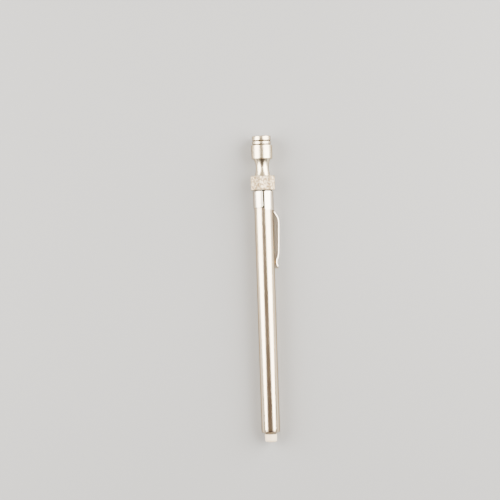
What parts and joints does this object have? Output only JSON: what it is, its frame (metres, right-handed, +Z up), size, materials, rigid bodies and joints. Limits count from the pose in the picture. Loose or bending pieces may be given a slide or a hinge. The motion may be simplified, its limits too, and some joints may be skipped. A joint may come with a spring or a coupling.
{
  "type": "tyre pressure gauge",
  "caption": "Pencil tyre pressure gauge with a straight chuck, a knurled collar, a pocket clip and a square bar that slides out of the barrel.",
  "frame": {"origin": "on the surface the gauge lies on, under the middle of its bounding box", "axes": "+Y along the barrel towards the chuck's nose, +Z up, +X to the side that the pocket clip is on"},
  "size_m": [0.0136, 0.1524, 0.012],
  "materials": {
    "nickel_head": "satin nickel plate on turned brass, with a knurled band",
    "nickel_barrel": "nickel plate, brushed round the tube",
    "clip_plate": "bright plated spring steel",
    "brass": "machined",
    "spring_steel": "drawn wire and strip",
    "rubber": "moulded black rubber",
    "fibre": "pressed fibre",
    "white_nylon": "moulded white nylon"
  },
  "bodies": {
    "gauge_body": {"chuck_body": "nickel_head", "nose_ring": "nickel_head", "valve_seal": "rubber", "depressor": "brass", "barrel_gasket": "rubber", "barrel": "nickel_barrel", "end_washer": "brass", "end_bushing": "white_nylon", "friction_leaf": "spring_steel", "end_bumper": "fibre", "pressure_spring": "spring_steel"},
    "clip": {"clip_band": "clip_plate"},
    "clip_spring": {"clip_arm": "clip_plate"},
    "piston": {"piston_cup": "rubber", "cup_retainer": "brass", "piston_rivet": "brass", "spring_seat": "brass", "piston_stem": "brass"},
    "bar": {"indicator_bar": "white_nylon", "bar_ferrule": "brass"}
  },
  "joints": [
    {"name": "bar_slide", "type": "slide", "parent": "gauge_body", "child": "bar", "axis": [0, -1, 0], "range_m": [0, 0.058]},
    {"name": "piston_slide", "type": "slide", "parent": "gauge_body", "child": "piston", "axis": [0, -1, 0], "range_m": [0, 0.058], "deforming": ["pressure_spring"]},
    {"name": "clip_swivel", "type": "hinge", "parent": "gauge_body", "child": "clip", "pos_m": [-0.00076, 0.0439, 0.006], "axis": [0, 1, 0], "continuous": true},
    {"name": "clip_flex", "type": "hinge", "parent": "clip", "child": "clip_spring", "pos_m": [0.00338, 0.03895, 0.00347], "axis": [0.5219, 0, 0.853], "range_deg": [0, 5], "stiffness_Nm_per_rad": 0.3}
  ],
  "couplings": [
    {"joint": "piston_slide", "follows": "bar_slide", "ratio": 1}
  ]
}
